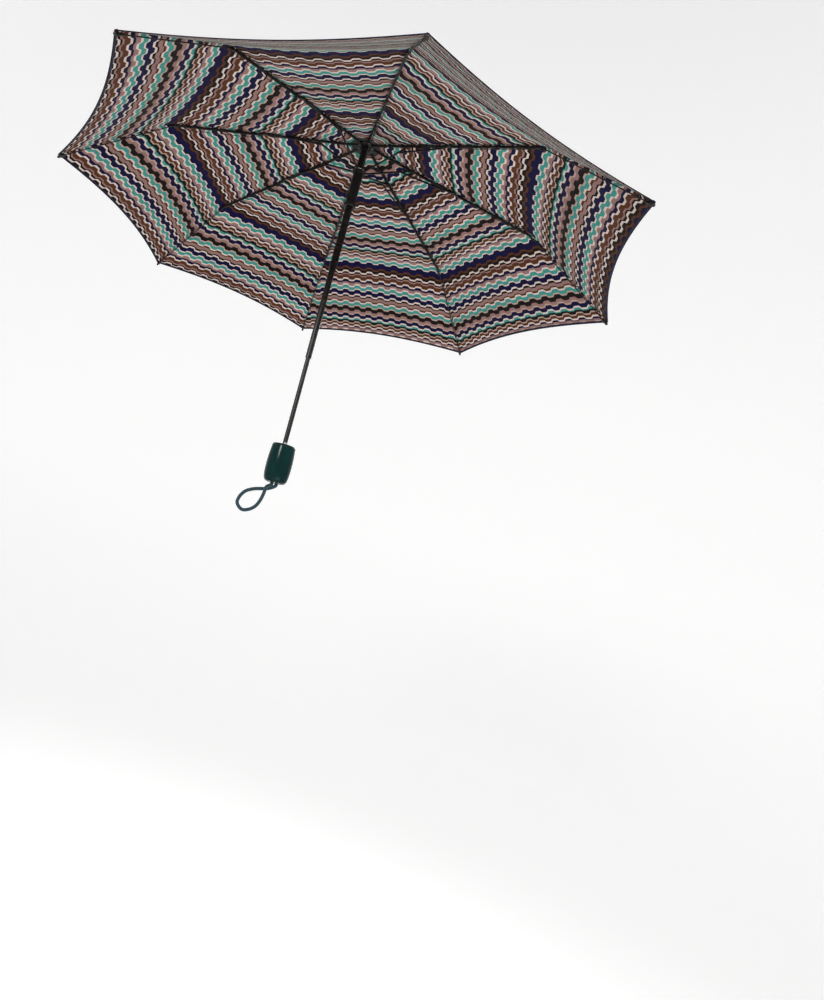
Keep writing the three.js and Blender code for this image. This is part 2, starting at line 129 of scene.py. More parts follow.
def studio():
    """White surroundings, three lights and the floor."""
    world = bpy.data.worlds.new("studio")
    world.use_nodes = True
    sky = world.node_tree.nodes["Background"]
    sky.inputs["Color"].default_value = (1, 1, 1, 1)
    sky.inputs["Strength"].default_value = WORLD_STRENGTH
    scene = bpy.context.scene
    scene.world = world
    scene.view_settings.view_transform = "Standard"
    area_light("key", (-1.3, -2.2, 1.0), (0, 0, 0.2), 0.7, 16, (1, 0.98, 0.95))
    area_light("under", (0.5, -1.2, -0.9), (0.1, 0.1, 0.5), 1.4, 6)
    area_light("back", (1.2, 2.2, 1.6), (0, 0, 0.4), 1.6, 14)
    floor()


def floor():
    """A round bowl: a flat floor that curves up into a wall on every side."""
    bend = WALL_R - FLOOR_R
    profile = [(FLOOR_R, FLOOR_Z)]
    for step in range(1, BEND_STEPS):
        angle = math.radians(90) * step / BEND_STEPS
        rise = bend * (1 - math.cos(angle))
        profile.append((FLOOR_R + bend * math.sin(angle), FLOOR_Z + rise))
    profile += [(WALL_R, FLOOR_Z + bend), (WALL_R, RIM_Z)]
    cove = bmesh.new()
    rings = []
    for step in range(BOWL_SIDES):
        angle = 2 * math.pi * step / BOWL_SIDES
        c, s = math.cos(angle), math.sin(angle)
        rings.append([cove.verts.new((r * c, r * s, z)) for r, z in profile])
    middle = cove.verts.new((0, 0, FLOOR_Z))
    for one, two in zip(rings, rings[1:] + rings[:1]):
        cove.faces.new((middle, one[0], two[0]))
        for k in range(len(one) - 1):
            cove.faces.new((one[k], one[k + 1], two[k + 1], two[k])).smooth = True
    mesh = bpy.data.meshes.new("studio_floor")
    cove.to_mesh(mesh)
    pale = Graph("pale_floor")
    pale.set(base=(0.93, 0.93, 0.93), roughness=0.9)
    pale.shader.inputs["Emission Color"].default_value = (1, 1, 1, 1)
    pale.shader.inputs["Emission Strength"].default_value = FLOOR_GLOW
    put("studio_floor", mesh, [pale.material])


# ---- materials -----------------------------------------------------------------------------
def linear(code):
    """A six-digit sRGB code as linear red, green and blue."""
    parts = [int(code[i : i + 2], 16) / 255 for i in (0, 2, 4)]
    return tuple(c / 12.92 if c <= 0.04045 else ((c + 0.055) / 1.055) ** 2.4 for c in parts)


class Graph:
    """A material with a Principled shader, and short calls that add nodes before it."""

    def __init__(self, name):
        self.material = bpy.data.materials.new(name)
        self.material.use_nodes = True
        self.tree = self.material.node_tree
        self.shader = self.tree.nodes["Principled BSDF"]

    def set(self, base=None, roughness=0.5, metallic=0.0, **more):
        if base is not None:
            self.shader.inputs["Base Color"].default_value = (*base, 1)
        self.shader.inputs["Roughness"].default_value = roughness
        self.shader.inputs["Metallic"].default_value = metallic
        for name, value in more.items():
            socket = name.replace("_", " ").title().replace("Ior", "IOR")
            self.shader.inputs[socket].default_value = value

    def feed(self, socket, value):
        if isinstance(value, bpy.types.NodeSocket):
            self.tree.links.new(value, socket)
        elif value is not None:
            colour = isinstance(value, tuple) and len(value) == 3
            socket.default_value = (*value, 1) if colour else value

    def node(self, kind, **settings):
        node = self.tree.nodes.new(kind)
        for name, value in settings.items():
            setattr(node, name, value)
        return node

    def math(self, operation, a, b=None, c=None):
        node = self.node("ShaderNodeMath", operation=operation)
        for socket, value in zip(node.inputs, (a, b, c)):
            self.feed(socket, value)
        return node.outputs[0]

    def mix(self, factor, a, b, blend="MIX"):
        node = self.node("ShaderNodeMix", data_type="RGBA", blend_type=blend)
        for index, value in ((0, factor), (6, a), (7, b)):
            self.feed(node.inputs[index], value)
        return node.outputs[2]

    def spread(self, value, low, high, to_low, to_high):
        node = self.node("ShaderNodeMapRange")
        for socket, given in zip(node.inputs, (value, low, high, to_low, to_high)):
            self.feed(socket, given)
        return node.outputs[0]

    def noise(self, scale, detail=3.0, roughness=0.5, vector=None):
        node = self.node("ShaderNodeTexNoise")
        node.inputs["Scale"].default_value = scale
        node.inputs["Detail"].default_value = detail
        node.inputs["Roughness"].default_value = roughness
        self.feed(node.inputs["Vector"], vector or self.place())
        return node.outputs["Fac"]

    def place(self):
        return self.node("ShaderNodeTexCoord").outputs["Object"]

    def stretched(self, scale):
        node = self.node("ShaderNodeMapping")
        self.feed(node.inputs["Vector"], self.place())
        node.inputs["Scale"].default_value = scale
        return node.outputs["Vector"]

    def map_xy(self, uv_map):
        split = self.node("ShaderNodeSeparateXYZ")
        self.tree.links.new(self.node("ShaderNodeUVMap", uv_map=uv_map).outputs[0], split.inputs[0])
        return split.outputs[0], split.outputs[1]

    def colour(self, socket):
        self.tree.links.new(socket, self.shader.inputs["Base Color"])

    def rough(self, socket):
        self.tree.links.new(socket, self.shader.inputs["Roughness"])

    def bump(self, height, strength, distance=0.001):
        node = self.node("ShaderNodeBump")
        node.inputs["Strength"].default_value = strength
        node.inputs["Distance"].default_value = distance
        self.tree.links.new(height, node.inputs["Height"])
        self.tree.links.new(node.outputs[0], self.shader.inputs["Normal"])


NAVY, TEAL, WHITE, MAUVE = "19174a", "54aaa2", "ebe2da", "a88b86"
BROWN, CHARCOAL, BLACK, BEIGE = "67432c", "231c1b", "120d0d", "cdb9ad"
REPEAT = 205.0  # length of one repeat of the stripes, along a rib
STEP_PERIOD = 27.0  # length of one step of a stripe's edge, across the panel
STEP_HALF = 2.6  # an edge steps this far up and down
STEP_SLOPE = 14.0  # how fast an edge passes from one level to the other
WEAVE_PITCH = 0.42  # from one thread of the weave to the next
# Stripes from the hem towards the crown: colour, width, and how strongly its far edge steps.
STRIPES = [
    (NAVY, 7.5, 0.9), (BROWN, 5, 0.9), (CHARCOAL, 6.5, 1), (WHITE, 4, 1), (BLACK, 4, 0.8),
    (MAUVE, 3.5, 0.8), (BROWN, 9, 1), (WHITE, 4, 1), (NAVY, 6, 0.5), (MAUVE, 6.5, 1.1),
    (WHITE, 4, 1.1), (TEAL, 8.5, 1), (WHITE, 3, 1), (NAVY, 11.5, 1), (WHITE, 4, 1),
    (BLACK, 4, 0.7), (MAUVE, 7.5, 0.7), (BROWN, 4, 1), (WHITE, 4, 1), (TEAL, 8.5, 1),
    (BEIGE, 3.5, 1), (CHARCOAL, 11, 1), (MAUVE, 7.5, 1), (BEIGE, 3.5, 1), (NAVY, 10, 1),
    (WHITE, 4, 1), (TEAL, 4, 0.45), (CHARCOAL, 6.5, 1), (BEIGE, 3, 1), (BROWN, 6.5, 1),
    (WHITE, 4, 1), (NAVY, 3.5, 0.5), (MAUVE, 6.5, 1), (WHITE, 4, 1), (TEAL, 8.5, 1),
    (WHITE, 3, 1), (NAVY, 7.5, 1),
]


def printed_cloth(name, shade, warm, deep=1.0):
    """Stepped stripes across each panel, on a fine plain weave with stitched seams at the ribs.
    shade and warm scale the colours, and deep spreads their darks and lights: with them the
    underside's copy is painted darker, warmer and more contrasting than the top, as painted shade."""
    g = Graph(name)
    g.set(sheen_weight=0.03, sheen_roughness=0.4, specular_ior_level=0.08)
    across, up = g.map_xy("print")
    from_rib, along = g.map_xy("seam")
    turn = g.math("FRACT", g.math("DIVIDE", across, STEP_PERIOD * MM))
    ridge = g.math("ABSOLUTE", g.math("SUBTRACT", turn, 0.5))
    slope = g.math("MULTIPLY", g.math("SUBTRACT", ridge, 0.25), STEP_SLOPE)
    flat = g.math("MAXIMUM", g.math("MINIMUM", slope, 1.0), -1.0)
    step = g.math("MULTIPLY", flat, STEP_HALF * MM)
    level = g.math("FLOORED_MODULO", up, REPEAT * MM)
    edges = {}
    for _, _, share in STRIPES:
        if share not in edges:
            edges[share] = g.math("SUBTRACT", level, g.math("MULTIPLY", step, share))
    scale = REPEAT / sum(width for _, width, _ in STRIPES)

    def tint(code):
        return tuple(c**deep * shade * w for c, w in zip(linear(code), warm))

    colour, height = tint(STRIPES[0][0]), 0.0
    for (_, width, share), (code, _, _) in zip(STRIPES, STRIPES[1:]):
        height += width * scale * MM
        colour = g.mix(g.math("GREATER_THAN", edges[share], height), colour, tint(code))
    cloudy = g.spread(g.noise(18, 4), 0.3, 0.7, 0.9, 1.06)
    worn = g.spread(g.noise(420, 2), 0.3, 0.7, 0.95, 1.05)
    colour = g.mix(1.0, colour, g.math("MULTIPLY", cloudy, worn), "MULTIPLY")

    wave = 2 * math.pi / (WEAVE_PITCH * MM)
    warp = g.math("SINE", g.math("MULTIPLY", across, wave))
    weft = g.math("SINE", g.math("MULTIPLY", up, wave))
    weave = g.math("MULTIPLY", g.math("ADD", warp, weft), 0.05)
    # The seam: a valley on the rib, and a line of stitches beside it.
    valley = g.spread(from_rib, 0.0, 1.2 * MM, 0.0, 1.0)
    beside = g.math("ABSOLUTE", g.math("SUBTRACT", from_rib, 2.6 * MM))
    dash = g.math("GREATER_THAN", g.math("FRACT", g.math("DIVIDE", along, 2.4 * MM)), 0.3)
    stitch = g.math("MULTIPLY", g.math("LESS_THAN", beside, 0.3 * MM), dash)
    # The creases left by folding: one down the middle of the panel, and soft ones beside it.
    crease = g.spread(g.math("ABSOLUTE", across), 0.0, 1.6 * MM, 0.0, 1.0)
    ripple = g.noise(1.0, 3, 0.55, g.stretched((26, 26, 5)))
    height = g.math("ADD", weave, g.math("MULTIPLY", valley, 0.8))
    height = g.math("ADD", height, g.math("MULTIPLY", stitch, 0.5))
    height = g.math("ADD", height, g.math("MULTIPLY", crease, 0.35))
    height = g.math("ADD", height, g.math("MULTIPLY", ripple, 3.0))
    g.bump(height, 0.45)
    # Painted shade: the colour is darkened to 0.45 of itself in the seam's valley on the rib, and
    # the stitch line beside it is a little darker.
    dark = g.math("ADD", 0.45, g.math("MULTIPLY", valley, 0.55))
    dark = g.math("SUBTRACT", dark, g.math("MULTIPLY", stitch, 0.2))
    g.colour(g.mix(1.0, colour, dark, "MULTIPLY"))
    g.rough(g.spread(g.noise(60, 3), 0.3, 0.7, 0.66, 0.82))
    return g.material


def plain_cloth(name, code, ribbed=0.6):
    """Closely woven tape with a stitched line along its middle."""
    g = Graph(name)
    g.set(sheen_weight=0.03, specular_ior_level=0.15)
    across, along = g.map_xy("seam")
    rib = g.math("SINE", g.math("MULTIPLY", along, 2 * math.pi / (ribbed * MM)))
    cross = g.math("SINE", g.math("MULTIPLY", across, 2 * math.pi / (ribbed * MM)))
    weave = g.math("ADD", rib, cross)
    dash = g.math("GREATER_THAN", g.math("FRACT", g.math("DIVIDE", along, 2.6 * MM)), 0.35)
    near = g.math("LESS_THAN", g.math("ABSOLUTE", across), 0.35 * MM)
    stitch = g.math("MULTIPLY", near, dash)
    base = linear(code)
    pale = tuple(min(1.0, c * 2.2 + 0.012) for c in base)
    g.colour(g.mix(stitch, g.mix(g.noise(90, 3), tuple(c * 0.7 for c in base), base), pale))
    g.bump(g.math("ADD", g.math("MULTIPLY", weave, 0.12), stitch), 0.4)
    g.rough(g.spread(g.noise(200, 2), 0.3, 0.7, 0.62, 0.8))
    return g.material


def coated_steel(name, code, wear, roughness=(0.3, 0.5)):
    """Black lacquer on steel: a slightly uneven coat, rubbed thinner along fine streaks."""
    g = Graph(name)
    g.set(metallic=0.1, coat_weight=0.1, coat_roughness=0.2, specular_ior_level=0.3)
    base = linear(code)
    streaks = g.noise(1.0, 4, 0.6, g.stretched((900, 900, 90)))
    rubbed = g.spread(g.math("MULTIPLY", streaks, g.noise(55, 3)), 0.32, 0.42, 0.0, wear)
    lacquer = g.mix(g.noise(40, 3), base, tuple(c * 1.5 for c in base))
    g.colour(g.mix(rubbed, lacquer, linear("6d6864")))
    g.rough(g.spread(g.noise(140, 4), 0.3, 0.7, *roughness))
    g.bump(g.noise(700, 2), 0.12, 0.0003)
    return g.material


def bare_steel():
    """Drawn steel wire with fine lines along it."""
    g = Graph("bright_steel_wire")
    g.set(metallic=1.0)
    lines = g.noise(1.0, 3, 0.5, g.stretched((1500, 1500, 200)))
    g.colour(g.mix(g.spread(lines, 0.35, 0.65, 0.0, 1.0), linear("8d8c8b"), linear("b9b8b6")))
    g.rough(g.spread(g.noise(260, 3), 0.3, 0.7, 0.22, 0.42))
    g.bump(lines, 0.08, 0.0003)
    return g.material


def moulded(name, code, gloss, grain=0.1, coat=0.0, shift=0.35, shine=0.4):
    """Moulded plastic: faint flow marks, fine grain and a slightly varying gloss."""
    g = Graph(name)
    g.set(coat_weight=coat, coat_roughness=0.06, specular_ior_level=shine)
    base = linear(code)
    low = tuple(c * (1 - shift) for c in base)
    high = tuple(min(1.0, c * (1 + shift)) for c in base)
    flow = g.noise(1.0, 3, 0.5, g.stretched((60, 60, 22)))
    g.colour(g.mix(g.spread(flow, 0.3, 0.7, 0.0, 1.0), low, high))
    g.rough(g.spread(g.noise(230, 4), 0.25, 0.75, gloss - 0.05, gloss + 0.07))
    g.bump(g.noise(1300, 2), grain, 0.0003)
    return g.material


def braided(name, code):
    """A round braid: two sets of strands wound opposite ways, over and under, with painted shade
    where a strand dips under the other set.
    """
    g = Graph(name)
    g.set(sheen_weight=0.3, specular_ior_level=0.3)
    around, along = g.map_xy("braid")
    spin = g.math("MULTIPLY", around, BRAID_STRANDS * 2 * math.pi)
    climb = g.math("MULTIPLY", along, 2 * math.pi * BRAID_PITCH / MM)
    one = g.math("SINE", g.math("ADD", spin, climb))
    two = g.math("SINE", g.math("SUBTRACT", spin, climb))
    over = g.math("MAXIMUM", one, two)
    # Painted shade: where a strand passes under the other set, its colour is darkened towards 0.35
    # of the base.
    light = g.spread(over, -0.2, 1.0, 0.0, 1.0)
    base = linear(code)
    deep = tuple(c * 0.35 for c in base)
    fleck = g.spread(g.noise(900, 2), 0.35, 0.65, 0.8, 1.15)
    g.colour(g.mix(1.0, g.mix(light, deep, base), fleck, "MULTIPLY"))
    g.bump(over, 0.5, 0.0004)
    g.rough(g.spread(g.noise(500, 2), 0.3, 0.7, 0.65, 0.85))
    return g.material


# ---- mesh helpers --------------------------------------------------------------------------
def finish_mesh(mesh, sharp=35):
    """Shade the mesh smooth, with edges over the angle left sharp."""
    for polygon in mesh.polygons:
        polygon.use_smooth = True
    mesh.set_sharp_from_angle(angle=math.radians(sharp))
    return mesh


def lathe(bm, profile, sides=96):
    """A closed outline of (radius, z) in millimetres, turned about the Z axis."""
    rings = []
    for step in range(sides):
        angle = 2 * math.pi * step / sides
        c, s = math.cos(angle), math.sin(angle)
        rings.append([bm.verts.new((r * c * MM, r * s * MM, z * MM)) for r, z in profile])
    for a, b in zip(rings, rings[1:] + rings[:1]):
        for i in range(len(profile)):
            j = (i + 1) % len(profile)
            bm.faces.new((a[i], b[i], b[j], a[j]))


def skin(bm, rings):
    """Faces between rings of as many points each, and a face over each end."""
    count = len(rings[0])
    for a, b in zip(rings, rings[1:]):
        for k in range(count):
            n = (k + 1) % count
            bm.faces.new((a[k], a[n], b[n], b[k]))
    bm.faces.new(rings[0])
    bm.faces.new(rings[-1])


def rounded(profile, radius, steps):
    """A closed outline with each corner rounded by a short curve."""
    out = []
    count = len(profile)
    for i, (x, y) in enumerate(profile):
        before, after = Vector(profile[i - 1]), Vector(profile[(i + 1) % count])
        here = Vector((x, y))
        to_before, to_after = before - here, after - here
        cut = min(radius, 0.45 * to_before.length, 0.45 * to_after.length)
        start = here + to_before.normalized() * cut
        end = here + to_after.normalized() * cut
        for step in range(steps + 1):
            t = step / steps
            out.append(tuple(start * (1 - t) ** 2 + here * 2 * t * (1 - t) + end * t * t))
    return out


def tube(bm, points, radius, sides, uv, relief=None):
    """A closed round tube along points, all in metres. relief scales the radius by station."""
    count = len(points)
    tangents = []
    for i in range(count):
        tangents.append((points[min(i + 1, count - 1)] - points[max(i - 1, 0)]).normalized())
    side = tangents[0].orthogonal().normalized()
    rings, travelled = [], [0.0]
    for i, (point, tangent) in enumerate(zip(points, tangents)):
        side = (side - tangent * side.dot(tangent)).normalized()
        other = tangent.cross(side)
        ring = []
        for k in range(sides):
            angle = 2 * math.pi * k / sides
            far = radius * (relief(travelled[-1], k / sides) if relief else 1)
            spoke = side * math.cos(angle) + other * math.sin(angle)
            ring.append(bm.verts.new(point + spoke * far))
        rings.append(ring)
        if i + 1 < count:
            travelled.append(travelled[-1] + (points[i + 1] - point).length)
    layer = bm.loops.layers.uv.new(uv)
    for i in range(count - 1):
        for k in range(sides):
            n = (k + 1) % sides
            face = bm.faces.new((rings[i][k], rings[i][n], rings[i + 1][n], rings[i + 1][k]))
            stations = (travelled[i], travelled[i], travelled[i + 1], travelled[i + 1])
            for loop, u, v in zip(face.loops, (k, k + 1, k + 1, k), stations):
                loop[layer].uv = (u / sides, v)
    bm.faces.new(list(reversed(rings[0])))
    bm.faces.new(rings[-1])


def to_object(bm, name, materials, matrix=None, sharp=35):
    """A scene object from a mesh being built, which is used up."""
    bmesh.ops.recalc_face_normals(bm, faces=bm.faces)
    mesh = bpy.data.meshes.new(name)
    bm.to_mesh(mesh)
    bm.free()
    if matrix is not None:
        mesh.transform(matrix)
    return put(name, finish_mesh(mesh, sharp), materials)


def applied(obj):
    """The object's mesh with its modifiers applied."""
    depsgraph = bpy.context.evaluated_depsgraph_get()
    mesh = bpy.data.meshes.new_from_object(obj.evaluated_get(depsgraph))
    obj.modifiers.clear()
    old, obj.data = obj.data, mesh
    bpy.data.meshes.remove(old)
    return obj


# ---- the canopy's shape --------------------------------------------------------------------
def walk(start, slope, far, lift=0.0):
    """A point in a rib's plane, far along a line that slopes down, and lifted square to it."""
    return (
        start[0] + far * math.cos(slope) + lift * math.sin(slope),
        start[1] - far * math.sin(slope) + lift * math.cos(slope),
    )


# Pivots of the ribs, in a rib's plane: where the top, middle and tip ribs start.
CROWN = (CROWN_R, CROWN_Z)
ELBOW = walk(CROWN, INNER_SLOPE, TOP_RIB, PIVOT_OFFSET)
KNEE = walk(CROWN, INNER_SLOPE, TOP_RIB + MID_RIB, -PIVOT_OFFSET)


class Profile:
    """The cloth over one rib: two straight runs with a rounded bend at the knee."""

    def __init__(self, lift):
        start = (CANOPY_HOLE_R - CROWN_R) / math.cos(INNER_SLOPE)
        first = walk(CROWN, INNER_SLOPE, start, lift)
        bend = [
            walk(KNEE, INNER_SLOPE, -KNEE_ROUND, PIVOT_OFFSET + lift),
            walk(KNEE, (INNER_SLOPE + OUTER_SLOPE) / 2, 0, PIVOT_OFFSET + lift + 0.1),
            walk(KNEE, OUTER_SLOPE, KNEE_ROUND, PIVOT_OFFSET + lift),
        ]
        a, b, c = (Vector(point) for point in bend)
        points = [Vector(first)]
        for step in range(KNEE_STEPS + 1):
            t = step / KNEE_STEPS
            points.append(a * (1 - t) ** 2 + b * 2 * t * (1 - t) + c * t * t)
        points.append(Vector(walk(KNEE, OUTER_SLOPE, TIP_RIB - 3, PIVOT_OFFSET + lift)))
        self.points, self.lengths = points, [0.0]
        for before, after in zip(points, points[1:]):
            self.lengths.append(self.lengths[-1] + (after - before).length)
        self.whole = self.lengths[-1]
        self.bend = (self.lengths[1], self.lengths[KNEE_STEPS + 1])

    def at(self, far):
        """The point that lies far down the profile."""
        i = 0
        while i < len(self.lengths) - 2 and self.lengths[i + 1] < far:
            i += 1
        share = (far - self.lengths[i]) / (self.lengths[i + 1] - self.lengths[i])
        return self.points[i].lerp(self.points[i + 1], share)


def panel_point(profile, station, across, side):
    """A point of the panel beside rib 0. across is 1 on the rib and 0 in the panel's middle.
    Returns the point and how far it lies down the profile, in millimetres."""
    share = station / profile.whole
    bow = 1 - across * across
    far = station - HEM_SCALLOP * bow * share * share
    radius, z = profile.at(far)
    out = radius * math.cos(HALF_PANEL)
    sideways = -radius * math.sin(HALF_PANEL) * across
    x = out * math.cos(HALF_PANEL) - sideways * math.sin(HALF_PANEL)
    y = out * math.sin(HALF_PANEL) + sideways * math.cos(HALF_PANEL)
    return Vector((x, side * y, z - PANEL_SAG * bow * share)), far


def half_panel(lift, side, first, last, columns=16):
    """One half of a panel, from its rib to its middle line, between two stations."""
    profile = Profile(lift)
    low, high = profile.bend
    stations = [first]
    while stations[-1] < last - 1e-6:
        here = stations[-1]
        pace = 2.5 if low - 4 <= here < high + 30 else 8.0
        stations.append(min(here + pace, last))
    bm = bmesh.new()
    print_map = bm.loops.layers.uv.new("print")
    seam_map = bm.loops.layers.uv.new("seam")
    grid, facts = [], {}  # facts: each vertex's place in the print and the seam maps
    for station in stations:
        row = []
        for column in range(columns + 1):
            across = 1 - column / columns
            point, far = panel_point(profile, station, across, side)
            vert = bm.verts.new(point * MM)
            half_chord = profile.at(far)[0] * math.sin(HALF_PANEL)
            facts[vert] = (
                -side * half_chord * across * MM,
                (profile.whole - station) * MM,
                half_chord * (1 - across) * MM,
                far * MM,
            )
            row.append(vert)
        grid.append(row)
    for upper, lower in zip(grid, grid[1:]):
        for c in range(columns):
            corners = [upper[c], lower[c], lower[c + 1], upper[c + 1]]
            face = bm.faces.new(corners if side > 0 else corners[::-1])
            for loop in face.loops:
                u, v, from_rib, along = facts[loop.vert]
                loop[print_map].uv = (u, v)
                loop[seam_map].uv = (from_rib, along)
    return bm


def keep_between(bm, planes):
    """Keep what lies in front of each plane: a point and a normal in millimetres."""
    for point, normal in planes:
        geometry = bm.verts[:] + bm.edges[:] + bm.faces[:]
        at = Vector(point) * MM
        bmesh.ops.bisect_plane(
            bm, geom=geometry, dist=1e-7, plane_co=at, plane_no=normal, clear_inner=True
        )


def cut_plane(pivot, slope, forward):
    """A plane through a pivot, square to the slope, that keeps one side of it."""
    along = Vector((math.cos(slope), 0, -math.sin(slope)))
    return (pivot[0], 0, pivot[1]), along if forward else -along


MID_SLOPE = (INNER_SLOPE + OUTER_SLOPE) / 2
# Each section's rib, the planes it lies between, its slope, and how wide each half is when folded.
SECTIONS = {
    "inner": ("top_rib", [cut_plane(ELBOW, INNER_SLOPE, False)], INNER_SLOPE, 7.0),
    "middle": (
        "mid_rib",
        [cut_plane(ELBOW, INNER_SLOPE, True), cut_plane(KNEE, MID_SLOPE, False)],
        INNER_SLOPE,
        4.4,
    ),
    "outer": ("tip_rib", [cut_plane(KNEE, MID_SLOPE, True)], OUTER_SLOPE, 9.0),
}


def solid_cloth(bm, thickness, underside):
    """Give a one-sided sheet its thickness downwards, with a material index for its underside."""
    mesh = bpy.data.meshes.new("cloth")
    bm.to_mesh(mesh)
    bm.free()
    obj = put("cloth", mesh)
    solid = obj.modifiers.new("thickness", "SOLIDIFY")
    solid.thickness, solid.offset = thickness * MM, -1
    solid.use_quality_normals = True
    applied(obj)
    mesh = obj.data
    bpy.data.objects.remove(obj)
    for face in mesh.polygons:
        face.material_index = underside if face.normal.z < 0 else 0
    return mesh


def hem_band(side):
    """The folded hem: a flat band with round edges along the hem of one half panel."""
    profile = Profile(CLOTH_LIFT - CLOTH_THICK / 2)
    half, past = HEM_THICK / 2, 0.9  # past: how far the band reaches beyond the hem line
    outline = rounded([(past, -half), (past, half), (-HEM_DEEP, half), (-HEM_DEEP, -half)], 0.6, 3)
    bm = bmesh.new()
    seam_map = bm.loops.layers.uv.new("seam")
    bm.loops.layers.uv.new("print")
    rings, travelled, before = [], [], None
    columns = 24
    for column in range(columns + 1):
        across = 1 - column / columns
        edge, _ = panel_point(profile, profile.whole, across, side)
        inside, _ = panel_point(profile, profile.whole - 4, across, side)
        along, _ = panel_point(profile, profile.whole, across - 0.01, side)
        outward = (edge - inside).normalized()
        tangent = (along - edge).normalized()
        up = outward.cross(tangent).normalized() * side
        outward = tangent.cross(up).normalized() * side
        rings.append([bm.verts.new((edge + outward * d + up * h) * MM) for d, h in outline])
        travelled.append(0.0 if before is None else travelled[-1] + (edge - before).length)
        before = edge
    count = len(outline)
    for i in range(columns):
        for k in range(count):
            n = (k + 1) % count
            face = bm.faces.new((rings[i][k], rings[i][n], rings[i + 1][n], rings[i + 1][k]))
            depth = [outline[k][0], outline[n][0], outline[n][0], outline[k][0]]
            far = [travelled[i], travelled[i], travelled[i + 1], travelled[i + 1]]
            for loop, d, t in zip(face.loops, depth, far):
                loop[seam_map].uv = ((d + HEM_DEEP / 2) * MM, t * MM)
    bm.faces.new(rings[0])
    bm.faces.new(rings[-1])
    bmesh.ops.recalc_face_normals(bm, faces=bm.faces)
    return bm


def joined(meshes):
    """One mesh from several, each given with the material index to add to its faces."""
    bm = bmesh.new()
    for mesh, offset in meshes:
        first = len(bm.faces)
        bm.from_mesh(mesh)
        bm.faces.ensure_lookup_table()
        for face in bm.faces[first:]:
            face.material_index += offset
        bpy.data.meshes.remove(mesh)
    mesh = bpy.data.meshes.new("canopy_piece")
    bm.to_mesh(mesh)
    bm.free()
    return finish_mesh(mesh, 40)


# Where each panel is cut from the cloth: its print moved across and along, in millimetres, and
# whether the panel is cut head to tail, so that its stripes run the other way.
PRINT_CUTS = [
    (3, 0, True), (11, 3, True), (-6, 14, False), (8, 12, False),
    (0, 15, False), (-9, 4, False), (5, -4, True), (-2, 1, False),
]
# A turned panel's print is read back from this far along, in millimetres.
TURNED_REPEATS = 390.0


def half_section(section, side):
    """One section of one half panel beside rib 0: its mesh, the direction it folds in, the point
    it folds towards and how wide it is when folded."""
    _, planes, slope, folded_half = SECTIONS[section]
    profile = Profile(CLOTH_LIFT)
    sheet = half_panel(CLOTH_LIFT, side, 0, profile.whole)
    keep_between(sheet, planes)
    parts = [(solid_cloth(sheet, CLOTH_THICK, 1), 0)]
    if section == "inner":
        patch = half_panel(PATCH_LIFT, side, 1.2, PATCH_R - CANOPY_HOLE_R, 8)
        parts.append((solid_cloth(patch, PATCH_THICK, 0), 2))
        cap = half_panel(CAP_LIFT, side, 1.2, CAP_R - CANOPY_HOLE_R, 8)
        parts.append((solid_cloth(cap, PATCH_THICK, 0), 2))
    if section == "outer":
        band = bpy.data.meshes.new("hem")
        hem = hem_band(side)
        hem.to_mesh(band)
        hem.free()
        parts.append((band, 3))
    mesh = joined(parts)
    # The fold runs square to the rib, from the rib through the middle of the sagging cloth.
    start = Vector((KNEE[0], 0, KNEE[1]) if section == "outer" else (CROWN[0], 0, CROWN[1])) * MM
    rib = Vector((math.cos(slope), 0, -math.sin(slope)))
    outward = Vector((math.sin(slope), 0, math.cos(slope)))
    anchor = start + outward * CLOTH_LIFT * MM
    reach = sum((v.co - anchor for v in mesh.vertices), Vector())
    fold = (reach - rib * reach.dot(rib)).normalized()
    return mesh, fold, anchor, folded_half


def make_canopy(materials):
    """Eight panels, each in two halves, and each half in three sections that ride on the top,
    middle and tip ribs.
    """
    first = True
    for section, (carrier, *_) in SECTIONS.items():
        for side, hand in ((1, "left"), (-1, "right")):
            base, fold, anchor, folded_half = half_section(section, side)
            for rib in range(RIBS):
                turn = Matrix.Rotation(2 * math.pi * rib / RIBS, 4, "Z")
                mesh = base.copy()
                mesh.transform(turn)
                panel = rib if side > 0 else (rib - 1) % RIBS
                across, along, turned = PRINT_CUTS[panel]
                for item in mesh.uv_layers["print"].data:
                    u, v = item.uv
                    if turned:
                        u, v = -u, TURNED_REPEATS * MM - v
                    item.uv = (u + across * MM, v + along * MM)
                piece = put(f"canopy_{section}_{rib}_{hand}", mesh, materials)
                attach(piece, f"{carrier}_{rib}")
                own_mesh(piece)
                if first:
                    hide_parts("canopy")
                    first = False


# ---- small parts of the frame --------------------------------------------------------------
RIB_FACE = 1.5  # from the middle of a rib to its side
RIVET_R, RIVET_DOME = 1.15, 0.55
# Thread ties: points in a turn, turns, how far a turn moves on, how square a turn is, thickness.
TIE_STEPS, TIE_TURNS, TIE_PITCH, TIE_SQUARE, TIE_R = 20, 3, 0.45, 1.35, 0.22
TOP_TIES, MIDDLE_TIES, OUTER_TIES = (38, 116), (16, 84), (52, 118, 176)
# The control wire beside a middle rib: distances along the rib and square to it.
WIRE_R, WIRE_Y = 0.5, -2.3
WIRE_PATH = [
    (11, -3.4), (15, -4.4), (24, -6.2), (60, -6.9), (100, -6.9), (136, -6.3), (147, -4.6),
    (151, -3.6),
]
# The tip cap: radii and distances along it, and how far back from the rib's end it starts.
TIP_CAP_SHAPE = [
    (1.0, 0), (1.75, 0.5), (2.05, 1.6), (2.05, 9.6), (2.25, 10.6), (2.25, 12), (1.7, 13),
    (0.9, 13.6),
]
TIP_CAP_BACK = 13.4


